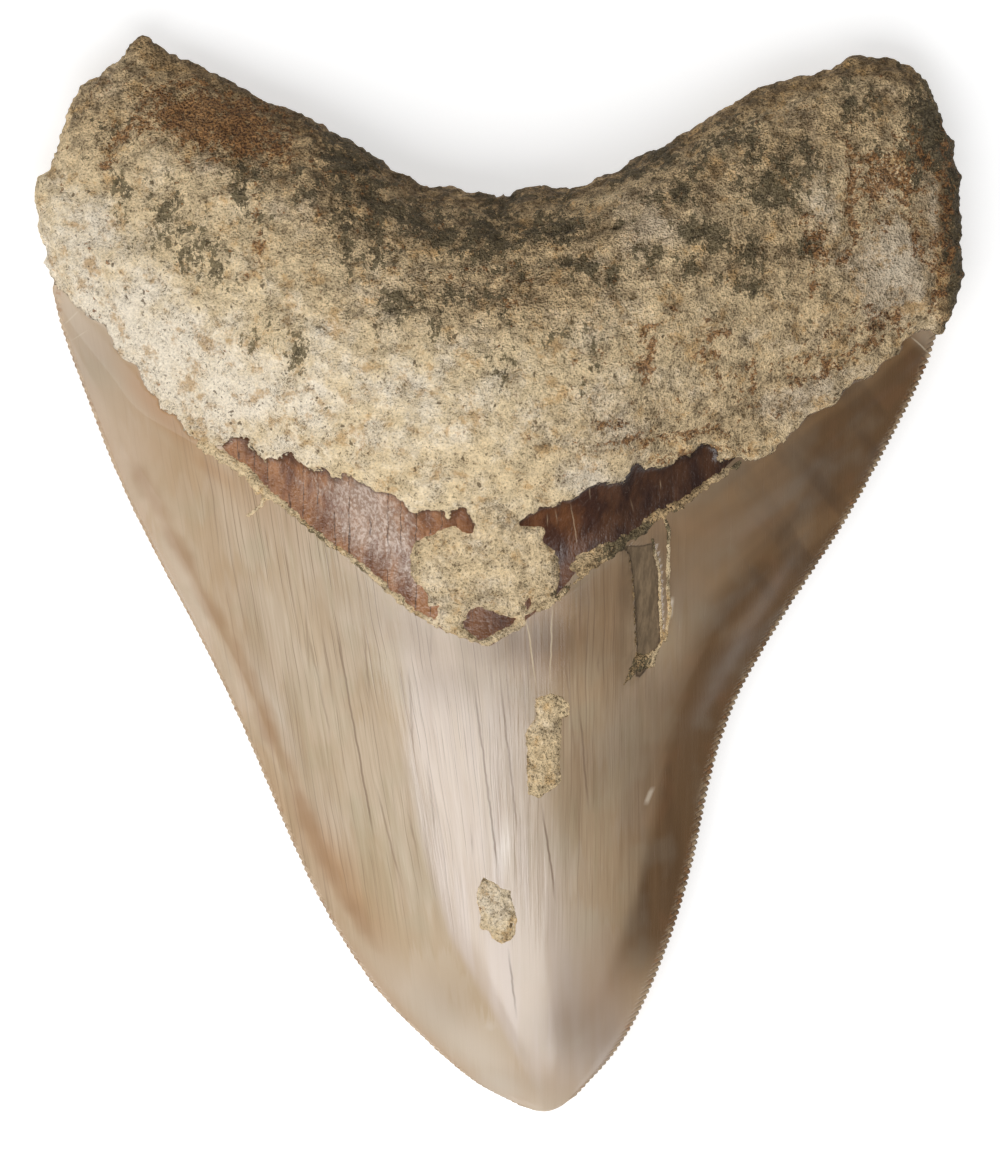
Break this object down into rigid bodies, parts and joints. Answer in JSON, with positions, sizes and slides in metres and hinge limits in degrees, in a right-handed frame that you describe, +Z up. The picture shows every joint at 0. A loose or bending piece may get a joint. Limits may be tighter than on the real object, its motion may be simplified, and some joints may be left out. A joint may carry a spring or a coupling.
{
  "type": "megalodon tooth",
  "caption": "Fossil megalodon tooth lying on its flat labial face: broad serrated crown, dark neck band and rough sandy root with crusts of hardened sand; a display piece or set dressing.",
  "frame": {"origin": "the middle of the tooth's box seen from above, on the surface that it lies on", "axes": "+Y runs from the tip to the root, +X to the right lobe seen from above, and +Z up, the way the lingual face looks"},
  "size_m": [0.128, 0.1494, 0.0305],
  "materials": {
    "fossil_tooth": "glossy streaked enamel on the crown, dark satin neck band, rough sandy root",
    "hardened_sand": "rough, granular, matt"
  },
  "bodies": {
    "root": {"tooth": "fossil_tooth", "neck_sand_patch": "hardened_sand", "neck_sand_seam_left": "hardened_sand", "neck_sand_seam_right": "hardened_sand", "crown_sand_patch_upper": "hardened_sand", "crown_sand_patch_lower": "hardened_sand"}
  },
  "joints": []
}
